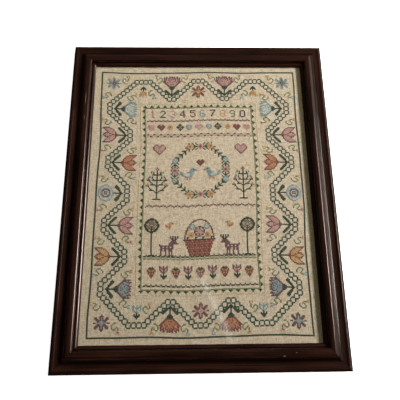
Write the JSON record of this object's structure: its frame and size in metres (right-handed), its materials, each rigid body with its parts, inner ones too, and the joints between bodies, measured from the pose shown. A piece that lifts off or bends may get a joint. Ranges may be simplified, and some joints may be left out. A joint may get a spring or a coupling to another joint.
{
  "type": "cross stitch sampler in a wooden frame",
  "caption": "Embroidered linen sampler behind glass in a mitred dark wooden picture frame with a stepped moulding, lying on its back.",
  "frame": {"origin": "middle of the frame's back, on the surface that it lies on", "axes": "+X to the picture's right, +Y to the picture's top, +Z out of the picture's face"},
  "size_m": [0.419, 0.5206, 0.0226],
  "materials": {
    "frame_wood": "dark mahogany stain under gloss lacquer",
    "glass": "clear",
    "linen": "even-weave, unbleached",
    "thread": "stranded cotton, soft sheen",
    "board": "matt"
  },
  "bodies": {
    "root": {"rail_bottom": "frame_wood", "rail_right": "frame_wood", "rail_top": "frame_wood", "rail_left": "frame_wood", "glass_pane": "glass", "linen_sheet": "linen", "backing_board": "board"}
  },
  "joints": []
}
